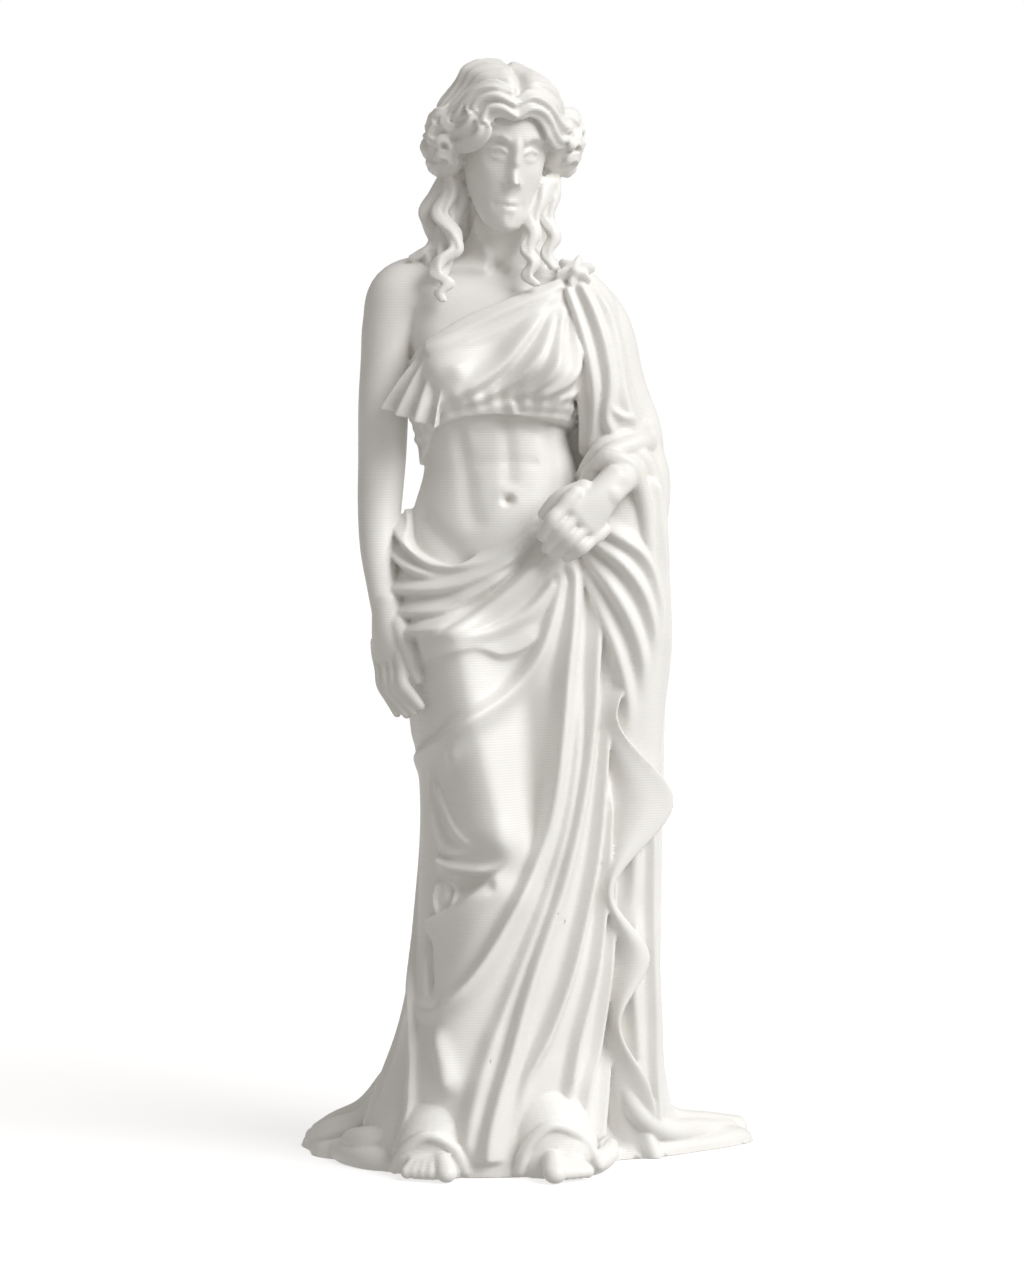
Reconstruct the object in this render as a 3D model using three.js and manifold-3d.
// A standing goddess statuette, cast in one piece in white resin: a half-draped woman on bare feet, with a
// wrap pinned on one shoulder, a skirt held up in the left hand, a mantle over that arm and a short train.
// Millimetres. X runs to the figure's left, Y to its back and Z up, and the underside is flat on Z = 0.
import * as THREE from "three";
import { mergeVertices } from "three/addons/utils/BufferGeometryUtils.js";
import Module from "manifold-3d";

const wasm = await Module();
wasm.setup();

// Driving dimensions
// A form is a stack of rounded sections: [z, centre x, centre y, half width, reach in front, reach behind].
const TORSO = [
  [160, -3, 0.5, 26, 14, 17],
  [178, -3, 0, 24, 13.5, 14],
  [190, -3, -0.5, 20.8, 12.5, 11.5],
  [199, -4.5, -0.5, 19.5, 12.8, 11.5],
  [208, -5, 0, 20.5, 13.5, 12.5],
  [218, -4.5, 0.5, 22, 14, 13.5],
  [228, -4.5, 1, 25, 13.5, 13.5],
  [237, -4.5, 1.5, 27, 11, 12.5],
  [242.5, -4.5, 2.5, 25, 8.5, 10.5],
  [246.5, -4.2, 2.5, 17, 7, 9],
  [250.5, -3.6, 1.8, 10, 7, 8],
  [256, -2.8, 0.5, 7.8, 7.4, 7.8],
  [266, -2, -1, 7.4, 7.4, 8],
];
const SKIRT = [
  [0, -8, 1, 33, 24, 37],
  [8, -7.5, 1, 32.5, 24, 36],
  [21, -5, 1, 30.7, 23, 33],
  [35, -2.3, 1, 28.3, 21.5, 29],
  [57, 1.2, 1, 27.7, 20, 25],
  [73, 1.9, 1, 27.5, 19, 23],
  [100, 2.2, 0.5, 27.2, 18, 21],
  [127, 1, 0.5, 28.2, 17.5, 20.5],
  [149, -0.9, 0.5, 29.6, 17, 20],
  [165, -2.9, 0.5, 28.9, 16, 18],
  [180, -3, 0, 25.5, 14.5, 15.5],
];
const MANTLE = [
  [0, 24, 19, 24, 16, 25],
  [12, 22, 17, 21, 15, 21],
  [30, 21, 14, 19.5, 14, 17],
  [70, 21, 12, 19.5, 13, 14],
  [110, 22, 11, 19.5, 13, 13],
  [150, 23, 10, 19.5, 12, 12],
  [180, 25, 9, 16.5, 11, 11.5],
  [195, 26.5, 8.5, 14, 10.5, 11],
  [210, 24.5, 7, 12, 10, 10.5],
  [226, 21.5, 5, 10.5, 9.5, 10],
  [238, 18.5, 3.5, 9, 8, 9],
  [243.5, 16.5, 2.5, 5, 5, 6],
];
// The mantle over the upper arm, and its front below the forearm.
const SLEEVE = [
  [186, 30, 2, 8.4, 10, 10],
  [196, 28, 1.5, 9, 11.5, 10],
  [214, 23.6, 0.5, 8.8, 12.5, 10],
  [227.5, 21.2, 0.5, 8.8, 11.5, 10],
  [238.5, 18.6, 0.5, 7.8, 8.5, 8],
  [244, 16.5, 0.5, 4.5, 5, 5],
];
const FALL = [
  [0, 33, 26, 16, 13, 14],
  [10, 31.5, 18, 14, 13, 14],
  [22, 30, 11, 12.6, 12.5, 14],
  [40, 29.4, 7, 12, 12, 13],
  [60, 29, 4, 11.5, 10.5, 12],
  [110, 29, 2, 11.8, 11, 12],
  [140, 29.5, 0.5, 12.4, 12.5, 12],
  [160, 29.5, -0.5, 12, 13.5, 12],
  [176, 30, -0.5, 11, 14, 12],
  [187, 31, 0, 9.5, 12.5, 12],
  [196, 29.5, 0, 8, 11, 12],
];
// The head stands upright round its own middle here, from the chin to the crown.
const HEAD = [
  [-20, 0, -9, 3.8, 4.5, 4],
  [-17, 0, -6, 6.4, 8.5, 6],
  [-13, 0, -3, 8.6, 11, 8],
  [-8, 0, -1, 10.1, 13, 10.5],
  [-2, 0, 0, 11, 14, 14],
  [4, 0, 0, 11.7, 14.3, 17],
  [10, 0, 0.5, 12, 13.6, 17.5],
  [15, 0, 1, 10.6, 11.8, 15],
  [18.5, 0, 1.5, 7, 7.6, 10],
  [20.2, 0, 2, 2.6, 2.8, 4],
];
const HEAD_CENTRE = new THREE.Vector3(-2, -4, 276);
const HEAD_TURN = 14;
const HEAD_NOD = 14;
const HEAD_ROLL = 4;
const HAIR_DEPTH = 3;
const CLOTH = 1.6;
const FLOOR_DEPTH = 60;
const SLIVER = 0.2;

const rad = THREE.MathUtils.degToRad;
const deg = THREE.MathUtils.radToDeg;
const mix = THREE.MathUtils.lerp;
const bell = (x, width) => Math.exp(-((x / width) ** 2));
const point = (x, y, z) => new THREE.Vector3(x, y, z);
const between = (a, b, share) => a.map((value, i) => mix(value, b[i], share));

// Smooth curves through a table of rows [key, values...]: the result gives the values at any key.
function smoothTable(rows) {
  const keys = rows.map((row) => row[0]);
  const values = rows.flatMap((row) => row.slice(1));
  const curve = new THREE.CubicInterpolant(keys, values, rows[0].length - 1);
  return (key) => [...curve.evaluate(key)];
}

// A stack of sections as a surface. turn is in degrees from straight ahead, positive to the figure's left.
function form(rows) {
  const table = smoothTable(rows);
  const ends = [rows[0][0], rows.at(-1)[0]];
  const at = (turn, z, swell = 0) => {
    const [cx, cy, half, front, back] = table(z);
    const [s, c] = [Math.sin(rad(turn)), Math.cos(rad(turn))];
    const reach = c > 0 ? front : back;
    const out = point(s / half, -c / reach, 0).normalize();
    return point(cx + half * s, cy - reach * c, z).addScaledVector(out, swell);
  };
  const front = (x, z, swell = 0) => {
    const [cx, , half] = table(z);
    return at(deg(Math.asin(THREE.MathUtils.clamp((x - cx) / half, -1, 1))), z, swell);
  };
  return { at, front, ends };
}

// A fold over a form: a ridge of a height and a half width through stations [x, z] of the front.
// It fades out at both ends, and a negative height makes it a groove.
const FOLD_STEPS = 20;
function fold(onForm, stations, height, width) {
  const line = new THREE.SplineCurve(stations.map(([x, z]) => new THREE.Vector2(x, z)));
  const points = line.getPoints(FOLD_STEPS).map((p) => onForm.front(p.x, p.y));
  return { points, height, width };
}

// Folds spread evenly between a first and a last line of stations.
function fan(onForm, first, last, count, height, width) {
  return Array.from({ length: count }, (_, i) => {
    const stations = first.map((station, k) => between(station, last[k], i / (count - 1)));
    return fold(onForm, stations, height, width);
  });
}

// A round swelling or hollow over a form, at one station.
function bump(onForm, [x, z], height, width) {
  return { points: [onForm.front(x, z)], height, width };
}

// How far the folds lift the surface at a point.
const segment = new THREE.Line3();
const foot = new THREE.Vector3();
function relief(folds, at) {
  let lift = 0;
  for (const { points, height, width } of folds) {
    let near = points[0].distanceTo(at);
    let where = 0;
    for (let i = 1; i < points.length; i++) {
      segment.set(points[i - 1], points[i]);
      const share = segment.closestPointToPointParameter(at, true);
      const far = segment.at(share, foot).distanceTo(at);
      if (far < near) {
        near = far;
        where = (i - 1 + share) / (points.length - 1);
      }
    }
    const fade = points.length > 1 ? Math.sqrt(Math.sin(Math.PI * where)) : 1;
    lift += height * (fade || 0) * bell(near, width);
  }
  return lift;
}

// A closed surface of rings, with a fan over each end: at(turn, ring) gives a point.
// crowd draws the columns together in front, where the folds are.
function shell(around, rings, at, crowd = 0) {
  const corners = [];
  for (let i = 0; i < rings; i++) {
    for (let j = 0; j < around; j++) {
      const turn = (360 * j) / around;
      corners.push(at(turn - crowd * deg(Math.sin(rad(turn))), i));
    }
  }
  const middle = (ring) => {
    const sum = new THREE.Vector3();
    for (let j = 0; j < around; j++) sum.add(corners[ring * around + j]);
    return sum.divideScalar(around);
  };
  const index = [];
  const [low, high] = [corners.length, corners.length + 1];
  for (let j = 0; j < around; j++) {
    const k = (j + 1) % around;
    for (let i = 0; i < rings - 1; i++) {
      const [a, b] = [i * around + j, i * around + k];
      index.push(a, b, b + around, a, b + around, a + around);
    }
    const top = (rings - 1) * around;
    index.push(low, k, j, high, top + j, top + k);
  }
  corners.push(middle(0), middle(rings - 1));
  const geometry = new THREE.BufferGeometry().setFromPoints(corners);
  return geometry.setIndex(index);
}

// A limb along a smooth path of rows [x, y, z, half width, half depth], with rounded ends.
// across is the direction that the half width lies along.
const END_BLUNT = 0.5;
const END_SHARPNESS = 10;
function limb(rows, { sides = 6, rings = 7, across = [1, 0, 0] } = {}) {
  const path = new THREE.CatmullRomCurve3(rows.map(([x, y, z]) => point(x, y, z)));
  const sizes = smoothTable(rows.map(([, , , w, d = w], i) => [i / (rows.length - 1), w, d]));
  const wide = point(...across);
  return shell(sides, rings, (turn, ring) => {
    const share = ring / (rings - 1);
    const along = path.getTangent(share);
    const deep = along.clone().cross(wide).normalize();
    const side = deep.clone().cross(along);
    const [w, d] = sizes(share);
    const round = Math.max(END_BLUNT, Math.sqrt(1 - Math.abs(2 * share - 1) ** END_SHARPNESS));
    return path
      .getPoint(share)
      .addScaledVector(side, w * round * Math.cos(rad(turn)))
      .addScaledVector(deep, d * round * Math.sin(rad(turn)));
  });
}

// Rolls of cloth laid over the folds of a form, spread evenly between a first and a last line of stations.
const ROLL_END = 0.55;
function rolls(onForm, under, first, last, count, height, depth) {
  return Array.from({ length: count }, (_, i) => {
    const rows = first.map((station, k) => {
      const [x, z] = between(station, last[k], i / Math.max(1, count - 1));
      const on = onForm.front(x, z, relief(under, onForm.front(x, z)));
      const taper = mix(ROLL_END, 1, Math.sin((Math.PI * k) / (first.length - 1)));
      return [on.x, on.y, on.z, height * taper, depth * taper];
    });
    return limb(rows, { rings: 7, across: [0, 0, 1] });
  });
}

// A rounded knob with lobes round an axis: its sizes are half width, half depth and half length.
const KNOB_RINGS = 5;
function knob(centre, along, across, [width, depth, length], lobes, lobeShare) {
  const [axis, side] = [point(...along), point(...across)];
  const deep = axis.clone().cross(side);
  return shell(3 * lobes, KNOB_RINGS, (turn, ring) => {
    const rise = rad(mix(-75, 75, ring / (KNOB_RINGS - 1)));
    const spread = Math.cos(rise) * (1 + lobeShare * Math.cos(rad(lobes * turn)));
    return point(...centre)
      .addScaledVector(side, width * spread * Math.cos(rad(turn)))
      .addScaledVector(deep, depth * spread * Math.sin(rad(turn)))
      .addScaledVector(axis, length * Math.sin(rise));
  });
}

// A strip of cloth between two edges that run from share 0 to 1.
function ribbon(rings, inner, outer, thick) {
  return shell(6, rings, (turn, ring) => {
    const share = ring / (rings - 1);
    const [a, b] = [inner(share), outer(share)];
    const across = b.clone().sub(a).divideScalar(2);
    const normal = point(-across.y, across.x, 0).normalize();
    return a
      .add(across)
      .addScaledVector(across, Math.cos(rad(turn)))
      .addScaledVector(normal, thick * Math.sin(rad(turn)));
  });
}

// Body
const torso = form(TORSO);
const BREAST_WIDTH = 9.5;
const breasts = [bump(torso, [-16, 215.5], 7.5, BREAST_WIDTH), bump(torso, [9.5, 215.5], 7.5, BREAST_WIDTH)];
const belly = [
  fold(torso, [[-1, 206], [-1, 194], [-1, 183]], -1, 2.4),
  bump(torso, [-1.1, 181.6], -1.2, 1.8),
  fold(torso, [[-15, 204], [-13, 192], [-11, 180]], -0.7, 3),
  fold(torso, [[10, 204], [9, 192], [9, 180]], -0.7, 3),
];

function body() {
  const rings = 14;
  return shell(20, rings, (turn, ring) => {
    const z = mix(...torso.ends, ring / (rings - 1));
    return torso.at(turn, z, relief([...breasts, ...belly], torso.at(turn, z)));
  });
}

// One-shouldered wrap: its hems climb to the pin on the left shoulder
const wrapFolds = [
  ...fan(
    torso,
    [[14, 237], [2, 221.5], [-8.5, 209.5], [-22, 199]],
    [[17, 236], [14, 221.5], [10, 209], [6, 205]],
    4, 1.7, 2.2,
  ),
  fold(torso, [[13, 238.5], [-8.5, 230], [-20, 224]], 1.2, 2),
  fold(torso, [[-24, 199], [-8, 204], [12, 203.5]], 1, 2.4),
];

function wrap() {
  const rings = 8;
  return shell(26, rings, (turn, ring) => {
    const [s, c] = [Math.sin(rad(turn)), Math.cos(rad(turn))];
    const low = 199 + 5 * c + 4.5 * s;
    const high = 227 + 3.5 * c + 13.5 * s;
    const z = mix(low, high, THREE.MathUtils.clamp((ring - 1) / (rings - 3), 0, 1));
    const buried = ring === 0 || ring === rings - 1;
    const lift = CLOTH + relief([...breasts, ...wrapFolds], torso.at(turn, z));
    return torso.at(turn, z, buried ? -4 : lift);
  });
}

// Loose end of the wrap beside the right breast: a flare with flutes
const FLARE_TOP = [-19, -13, 227];
const FLARE_OUTER = [-34, -9, 208.5];
const FLARE_INNER = [-19.5, -19.5, 201.5];
const FLUTE_DEPTH = 1.8;
function flare() {
  const rings = 7;
  const half = point(...FLARE_INNER).sub(point(...FLARE_OUTER)).divideScalar(2);
  const ahead = point(half.y, -half.x, 0).normalize();
  const low = between(FLARE_OUTER, FLARE_INNER, 0.5);
  return shell(18, rings, (turn, ring) => {
    const share = 1 - ring / (rings - 1);
    const wide = Math.cos(rad(turn));
    const flute = FLUTE_DEPTH * share * Math.cos(2.5 * Math.PI * wide);
    return point(...between(FLARE_TOP, low, share))
      .addScaledVector(half, wide * mix(0.25, 1, share))
      .addScaledVector(ahead, flute - 1.6 * Math.sin(rad(turn)));
  });
}

// Skirt: the right thigh and knee under it, and long pleats from the hand to the hem
const skirt = form(SKIRT);
const skirtFolds = [
  fold(skirt, [[-19, 156], [-13, 125], [-6, 96], [-3, 80]], 6.5, 10),
  fold(skirt, [[-3, 88], [-11.5, 58], [-18, 32], [-20, 16]], 3, 8),
  fold(skirt, [[2, 144], [3, 117], [4, 90]], -4, 4),
  fold(skirt, [[15.5, 160], [15, 128], [12, 105], [5, 83], [-7, 58], [-20, 44]], 4, 3.4),
  ...fan(
    skirt,
    [[21, 150], [21, 120], [15.5, 88], [6, 53], [-4, 8]],
    [[26, 130], [26, 100], [26, 74], [25, 44], [23, 8]],
    4, 3, 2.4,
  ),
  fold(skirt, [[13, 165], [10, 150], [4, 136], [-8, 124], [-27, 110]], 3.4, 3.2),
  fold(skirt, [[2, 84], [-8.5, 81], [-19, 79]], 2, 3),
  fold(skirt, [[4, 78], [-8.5, 67], [-22, 64]], 2.6, 3),
  fold(skirt, [[-23, 112], [-21.5, 85], [-23, 61], [-25, 37], [-31, 12]], 3, 3),
];
const BACK_PLEATS = 9;
const BACK_PLEAT_DEPTH = 1.8;

function skirtCloth() {
  const rings = 21;
  return shell(36, rings, (turn, ring) => {
    const behind = Math.max(0, -Math.cos(rad(turn)));
    const waist = 173 + 3 * behind - 10 * bell(turn > 180 ? turn - 345 : turn + 15, 38);
    const z = waist * Math.min(1, ring / (rings - 2));
    const pleats = BACK_PLEAT_DEPTH * behind * Math.cos(rad(BACK_PLEATS * turn)) * (1 - z / 200);
    const lift = relief(skirtFolds, skirt.at(turn, z)) + pleats;
    return skirt.at(turn, z, ring === rings - 1 ? -5 : lift);
  }, 0.3);
}

// Overfold of the skirt: swags from the right hip to the hand
function swags() {
  return rolls(
    skirt, skirtFolds,
    [[-29, 174], [-23, 164], [-11, 163.5], [-2, 167], [10, 176]],
    [[-28, 141], [-16, 144], [-6.5, 151], [1, 159], [12, 169]],
    5, 3.6, 3.4,
  );
}

// Mantle: it hangs from the left forearm to the floor, and its front edge falls in a ruffle
const mantle = form(MANTLE);
const MANTLE_PLEATS = 7;

function mantleFall() {
  const rings = 10;
  return shell(24, rings, (turn, ring) => {
    const z = mix(...mantle.ends, ring / (rings - 1));
    return mantle.at(turn, z, 1.4 * Math.cos(rad(MANTLE_PLEATS * turn + z)) * (1 - z / 230));
  });
}

// The cloth over the upper arm falls in folds from the pin, and below the hand the front fans out
const sleeve = form(SLEEVE);
const sleeveFolds = fan(
  sleeve,
  [[13, 240], [16.5, 226], [18.5, 214], [20.5, 192]],
  [[20.5, 240], [26.6, 229], [29, 216], [34, 199]],
  4, 1.8, 1.8,
);
const fall = form(FALL);
const fallFolds = fan(
  fall,
  [[21, 178], [29, 171.5], [35.5, 165], [39.5, 138]],
  [[20, 167], [23.6, 154], [28.2, 141], [31, 114]],
  4, 2.6, 2.2,
);

function draped(onForm, folds, around, rings) {
  return shell(around, rings, (turn, ring) => {
    const z = mix(...onForm.ends, ring / (rings - 1));
    return onForm.at(turn, z, relief(folds, onForm.at(turn, z)));
  }, 0.3);
}

// The ruffle's edge swings out and back: [height, reach to the side, place in depth].
const RUFFLE = [
  [1, 40, 10],
  [21, 38, -1],
  [40, 29.5, -10],
  [58, 37.5, -7],
  [75, 27.5, -13],
  [100, 44, -6],
  [123.5, 28.5, -14],
  [143.5, 37, -9],
  [163, 33, -12],
];
const RUFFLE_ROOT = [
  [1, 27, 8],
  [21, 25, 0],
  [45, 23.5, -3],
  [163, 23, -4],
];
function ruffle() {
  const [edge, root] = [smoothTable(RUFFLE), smoothTable(RUFFLE_ROOT)];
  const height = (share) => mix(RUFFLE[0][0], RUFFLE.at(-1)[0], share);
  const inner = (share) => point(...root(height(share)), height(share));
  const outer = (share) => point(...edge(height(share)), height(share));
  return ribbon(24, inner, outer, CLOTH);
}

// Train: cloth that lies on the floor to both sides and behind, highest where it meets the skirt
const TRAIN_RIPPLES = 13;
const TRAIN_LIP = 3.4;
const TRAIN_RISE = 20;
function train() {
  const rings = 5;
  return shell(36, rings, (turn, ring) => {
    const facing = turn > 180 ? turn - 360 : turn;
    const left = bell(facing - 114, 24);
    const right = bell(facing + 103, 30);
    const reach = 27 + 44 * left + 32 * right + 19 * bell(180 - Math.abs(facing), 45);
    const ripple = Math.cos(rad(TRAIN_RIPPLES * turn)) * (left + right + 0.4);
    const share = Math.max(0, ring - 1) / (rings - 1);
    const radius = (reach + 1.4 * ripple) * (1 - share);
    const z = ring === 0 ? 0 : TRAIN_LIP + TRAIN_RISE * share ** 1.4 + 1.2 * ripple * (1 - share);
    return point(radius * Math.sin(rad(turn)), 10 - radius * Math.cos(rad(turn)), z);
  });
}

// Bare feet under the hem, each with the cloth domed over it
function bareFoot({ heel, ball, big, little, bigGirth, dome }) {
  const sole = limb([[...heel, 7, 7], [...between(heel, ball, 0.5), 7, 6], [...ball, 6.8, 4.4]]);
  const toes = [0, 0.36, 0.57, 0.79, 1].map((share, toe) => {
    const tip = between(big, little, share);
    const root = between(tip, ball, 0.6);
    const girth = toe === 0 ? bigGirth : 2 - 0.12 * toe;
    const rows = [[...root, girth], [...between(root, tip, 0.6), girth], [...tip, girth]];
    return limb(rows, { sides: 5, rings: 4 });
  });
  return [sole, ...toes, limb(dome, { sides: 8 })];
}

const LEFT_FOOT = {
  heel: [5, -8, 9],
  ball: [10.5, -20, 4.6],
  big: [11.5, -30.4, 3],
  little: [21.8, -23.5, 2.4],
  bigGirth: 3.7,
  dome: [[6, -5, 22, 9, 8], [8, -12, 16.5, 10, 9], [10, -16, 11.5, 11, 8], [12, -18, 7, 11.5, 6]],
};
const RIGHT_FOOT = {
  heel: [-17, -8, 9],
  ball: [-21, -19, 4.6],
  big: [-17.6, -29.4, 2.8],
  little: [-28.4, -24.4, 2.3],
  bigGirth: 3.2,
  dome: [[-17, -5, 19, 9, 8], [-19, -12, 14.5, 10, 8.5], [-20.5, -16, 9.5, 10, 7], [-21.5, -18, 5, 10, 5]],
};
const feet = () => [LEFT_FOOT, RIGHT_FOOT].flatMap(bareFoot);

// Hands: a palm, four fingers between the index and the little finger, and a thumb
const WRIST_LAP = 0.6;
function hand({ wrist, knuckles, bends, tips, thumb, girth }) {
  const [index, little] = knuckles;
  const across = index.map((value, i) => value - little[i]);
  const heart = between(index, little, 0.5);
  const palmRows = [
    [...between(wrist, heart, -WRIST_LAP), 4, 3.6],
    [...between(wrist, heart, 0.3), 5, 3.8],
    [...heart, 5.6, 3],
  ];
  const fingers = [0, 1, 2, 3].map((i) => {
    const line = [knuckles, bends, tips].map(([a, b]) => between(a, b, i / 3));
    const size = girth * (i === 3 ? 0.85 : 1);
    const rows = line.map((place, k) => [...place, size * (1.1 - 0.12 * k)]);
    return limb(rows, { sides: 5, rings: 5, across });
  });
  const [root, tip] = thumb;
  const thumbRows = [
    [...root, girth * 1.4],
    [...between(root, tip, 0.5), girth * 1.15],
    [...tip, girth * 0.9],
  ];
  return [limb(palmRows, { across }), ...fingers, limb(thumbRows, { sides: 5, rings: 5 })];
}

function rightArm() {
  const wrist = [-33.8, -6, 151.8];
  const arm = limb(
    [
      [-25, 2, 240, 8.5],
      [-31, 1.5, 235, 8.8],
      [-33, 1, 226, 7.6],
      [-34.6, 1, 208.6, 6.9],
      [-35.4, 3, 190, 6.9],
      [-36.2, 0, 175, 6],
      [-36.2, -4, 164, 4.9],
      [...wrist, 4.1, 3.8],
    ],
    { sides: 8, rings: 13 },
  );
  return [arm, ...hand({
    wrist,
    knuckles: [[-30, -9.5, 140.6], [-36, -4, 140]],
    bends: [[-29, -13, 131], [-34, -7, 131]],
    tips: [[-24, -14, 125.6], [-29, -8, 126.5]],
    thumb: [[-29, -9, 147], [-24.8, -12, 132.5]],
    girth: 1.75,
  })];
}

function leftArm() {
  const wrist = [26.5, -20, 186];
  const upper = limb(
    [[17, 2, 238, 8], [24, 3, 230, 8.5], [30, 6, 210, 8.5], [33.5, 9, 195, 8.5], [33, 5, 187, 7.5]],
    { sides: 8, rings: 8 },
  );
  const fore = limb([[34, 10, 191, 6.8], [31, -6, 189, 6.2], [...wrist, 4.6, 4.2]], { sides: 8, rings: 7 });
  return [upper, fore, ...hand({
    wrist,
    knuckles: [[15.2, -26.6, 181.8], [23.2, -22.2, 172.6]],
    bends: [[10.6, -27.8, 176.6], [18.6, -25, 169]],
    tips: [[7.6, -24.5, 171], [14, -22.6, 166]],
    thumb: [[18.5, -22.5, 184.5], [8, -21.6, 178.6]],
    girth: 1.75,
  })];
}

// Mantle rolls: round the forearm as a cuff and down beside it
const CUFF = [
  [[36, 4, 201, 3], [30, -8, 199, 2.8], [24, -11, 195.5, 2.6], [19.5, -6, 187, 2.2]],
  [[38, 6, 197, 3.4], [29, -14, 194, 3], [34.5, -13.5, 184.5, 3], [36.5, -11, 171, 2.6], [37.5, -9, 150, 2]],
  [[38, 8, 192, 4], [37.5, -4, 191, 4], [38.5, -6, 174, 3.4], [40, -3, 148, 2.6]],
];
const cuffRolls = () => CUFF.map((rows) => limb(rows, { rings: 8 }));

// Pin on the shoulder: a rosette of petals
const rosette = () => knob([17, -6, 243], [0, -1, 0], [1, 0, 0], [5.4, 4.4, 3.4], 5, 0.2);

// Head and hair, made upright and then turned into the pose
const headPose = new THREE.Matrix4()
  .makeRotationFromEuler(new THREE.Euler(rad(HEAD_NOD), rad(HEAD_ROLL), rad(HEAD_TURN), "ZYX"))
  .setPosition(HEAD_CENTRE);
const head = form(HEAD);
const features = [
  bump(head, [5.2, 1.5], -1.5, 3),
  bump(head, [-5.2, 1.5], -1.5, 3),
  bump(head, [0, -17.5], 1.2, 3.4),
];

const NOSE = [[0, -12.4, 6, 1.4], [0, -14.4, -1, 1.7], [0, -15.6, -6.8, 2.4], [0, -12, -9, 2]];
const LIPS = [[-3.4, -12.2, -13.2, 0.8], [0, -13.6, -12.8, 1.5], [3.4, -12.2, -13.2, 0.8]];
function face() {
  const rings = 10;
  const skull = shell(16, rings, (turn, ring) => {
    const z = mix(...head.ends, ring / (rings - 1));
    return head.at(turn, z, relief(features, head.at(turn, z)));
  });
  return [skull, limb(NOSE, { sides: 5 }), limb(LIPS, { rings: 5, across: [0, 0, 1] })];
}

// Parted hair: a cap over the skull, waves along the brow, bunches of curls over the ears
const parting = [fold(head, [[0, 11], [0, 15], [0, 19]], -1.4, 1.6)];
function hairCap() {
  const rings = 8;
  return shell(20, rings, (turn, ring) => {
    const front = Math.cos(rad(turn));
    const low = 0.5 + 11.5 * front * Math.abs(front);
    const z = mix(low, HEAD.at(-1)[0], Math.max(0, ring - 1) / (rings - 2));
    const rise = HAIR_DEPTH * Math.max(0, (z - 12) / 8);
    const lift = ring === 0 ? -2 : HAIR_DEPTH + relief(parting, head.at(turn, z));
    return head.at(turn, z, lift).add(point(0, 0, rise));
  });
}

const WAVE = 1.3;
function browWaves(side) {
  return [0, 1].map((row) => {
    const rows = [0, 1, 2, 3, 4, 5].map((step) => {
      const turn = side * (5 + 16 * step);
      const z = 13.2 + 3.6 * row - 0.42 * step ** 2 - 0.5 * step + WAVE * Math.sin(2.1 * step + row);
      const on = head.at(turn, z, 2.2 + 0.6 * row);
      return [on.x, on.y, on.z, 2.9];
    });
    return limb(rows, { sides: 5, rings: 9, across: [0, 0, 1] });
  });
}

const CURLS = 6;
const bunch = (side) => knob([side * 16.5, 2.5, 1], [side, 0, 0], [0, 1, 0], [8, 9.5, 6], CURLS, 0.16);

// A wavy lock from one point to another
function lock(start, end, waves, swing, girth) {
  const steps = 2 * waves + 1;
  const rows = Array.from({ length: steps + 1 }, (_, step) => {
    const place = between(start, end, step / steps);
    const sway = (step % 2 ? swing : -swing) * (step === 0 ? 0 : 1);
    return [place[0] + sway, place[1], place[2], girth * (1.1 - 0.35 * (step / steps))];
  });
  return limb(rows, { sides: 5, rings: 3 * waves + 4, across: [0, 1, 0] });
}

function looseHair() {
  const nape = [
    [-1, 7, 284, 10, 6],
    [-2, 10, 270, 12, 8],
    [-3, 12, 256, 11, 6.5],
    [-4, 13, 243, 10, 4.5],
    [-4.5, 14, 230, 6, 2.6],
  ];
  return [
    limb(nape, { sides: 10, rings: 8 }),
    lock([-15, 0, 270], [-25, -2, 247], 2, 1.6, 3.4),
    lock([-13, -5, 270], [-19, -11, 237.5], 3, 1.8, 3.2),
    lock([-11, 0, 266], [-21, -4, 248], 2, 1.6, 3.4),
    lock([8.5, -6, 266], [7, -12, 240.5], 2, 1.2, 2.6),
    lock([10.5, -2, 268], [10.5, -8, 244], 2, 1.2, 2.8),
  ];
}

// All of it fused into one casting, and cut flat where it stands
function solid(geometry) {
  geometry.deleteAttribute("normal");
  geometry.deleteAttribute("uv");
  const merged = mergeVertices(geometry, 1e-4);
  const mesh = new wasm.Mesh({
    numProp: 3,
    vertProperties: merged.attributes.position.array,
    triVerts: new Uint32Array(merged.index.array),
  });
  return new wasm.Manifold(mesh);
}

const posed = [...face(), hairCap(), ...[-1, 1].flatMap((side) => [...browWaves(side), bunch(side)])];
posed.forEach((geometry) => geometry.applyMatrix4(headPose));
const shapes = [
  body(), wrap(), flare(), skirtCloth(), ...swags(),
  mantleFall(), draped(sleeve, sleeveFolds, 18, 9), draped(fall, fallFolds, 18, 14),
  ...cuffRolls(), ruffle(), rosette(), train(),
  ...feet(), ...rightArm(), ...leftArm(), ...looseHair(), ...posed,
];
const floor = new THREE.BoxGeometry(400, 400, FLOOR_DEPTH).translate(0, 0, -FLOOR_DEPTH / 2);
const fused = shapes.map(solid).reduce((whole, shape) => whole.add(shape)).subtract(solid(floor));
// The casting is solid, so hollows that the folds close off are filled: only the outer skin is kept.
const skins = fused.simplify(SLIVER).decompose();
const casting = skins.reduce((most, skin) => (skin.volume() > most.volume() ? skin : most));

const { vertProperties, triVerts } = casting.getMesh();
const geometry = new THREE.BufferGeometry()
  .setAttribute("position", new THREE.BufferAttribute(vertProperties, 3))
  .setIndex(new THREE.BufferAttribute(triVerts, 1));
geometry.computeVertexNormals();

const whiteResin = new THREE.MeshStandardMaterial({ color: 0xf1efea, roughness: 0.45, metalness: 0 });
const figure = new THREE.Mesh(geometry, whiteResin);
figure.name = "goddess_figure";

const statue = new THREE.Group();
statue.add(figure);

export default statue;
